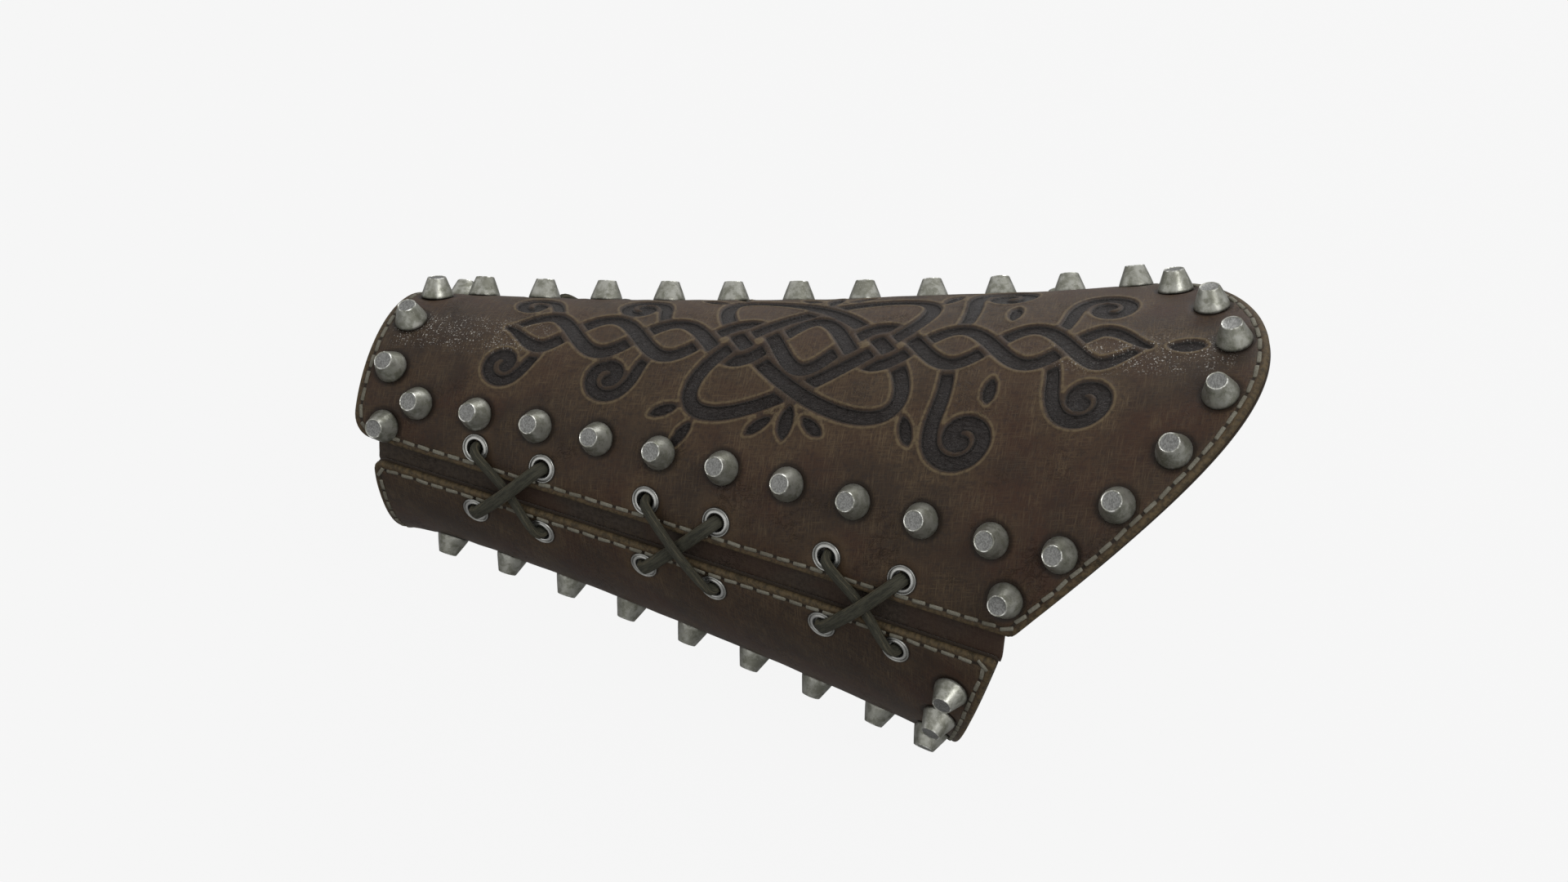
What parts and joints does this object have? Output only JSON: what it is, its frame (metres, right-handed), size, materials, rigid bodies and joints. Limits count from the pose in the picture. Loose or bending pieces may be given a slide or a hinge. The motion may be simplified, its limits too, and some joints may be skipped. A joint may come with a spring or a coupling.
{
  "type": "bracer",
  "caption": "Laced leather forearm guard of two riveted panels over narrow tongues, with a pointed elbow flap, cone studs along the edges and cross lacing on both sides.",
  "frame": {"origin": "centre of the wrist rim of the outer panel, on the forearm's axis", "axes": "+X along the forearm from wrist to elbow, +Z out of the middle of the decorated outer panel, +Y towards the far lacing"},
  "size_m": [0.2521, 0.1418, 0.1515],
  "materials": {
    "tooled_leather": "dark brown, worn, scratched, half gloss",
    "lining_leather": "lighter tan cut edge and flesh side, matt",
    "tongue_leather": "dark, soft, matt",
    "stud_metal": "aged pewter grey with bright worn tops",
    "screw_steel": "dull",
    "eyelet_nickel": "polished, slightly worn",
    "lace_suede": "olive brown suede"
  },
  "bodies": {
    "outer": {"outer_leather": "tooled_leather", "outer_lining": "lining_leather", "outer_near_studs": "stud_metal", "outer_far_studs": "stud_metal", "wrist_studs": "stud_metal", "elbow_studs": "stud_metal", "outer_stud_screws": "screw_steel", "outer_near_eyelets": "eyelet_nickel", "outer_far_eyelets": "eyelet_nickel", "outer_eyelet_washers": "eyelet_nickel", "near_lace_wrist": "lace_suede", "near_lace_middle": "lace_suede", "near_lace_elbow": "lace_suede", "far_lace_wrist": "lace_suede", "far_lace_middle": "lace_suede", "far_lace_elbow": "lace_suede"},
    "inner": {"inner_leather": "tooled_leather", "inner_lining": "lining_leather", "near_tongue": "tongue_leather", "far_tongue": "tongue_leather", "inner_near_studs": "stud_metal", "inner_far_studs": "stud_metal", "inner_end_studs": "stud_metal", "inner_stud_screws": "screw_steel", "inner_near_eyelets": "eyelet_nickel", "inner_far_eyelets": "eyelet_nickel", "inner_eyelet_washers": "eyelet_nickel"}
  },
  "joints": [
    {"name": "side_opening", "type": "hinge", "parent": "outer", "child": "inner", "pos_m": [0.1, 0.0456, 0.0144], "axis": [0.9852, 0.1665, 0.0417], "range_deg": [0, 12], "deforming": ["near_lace_wrist", "near_lace_middle", "near_lace_elbow", "far_lace_wrist", "far_lace_middle", "far_lace_elbow"]}
  ]
}
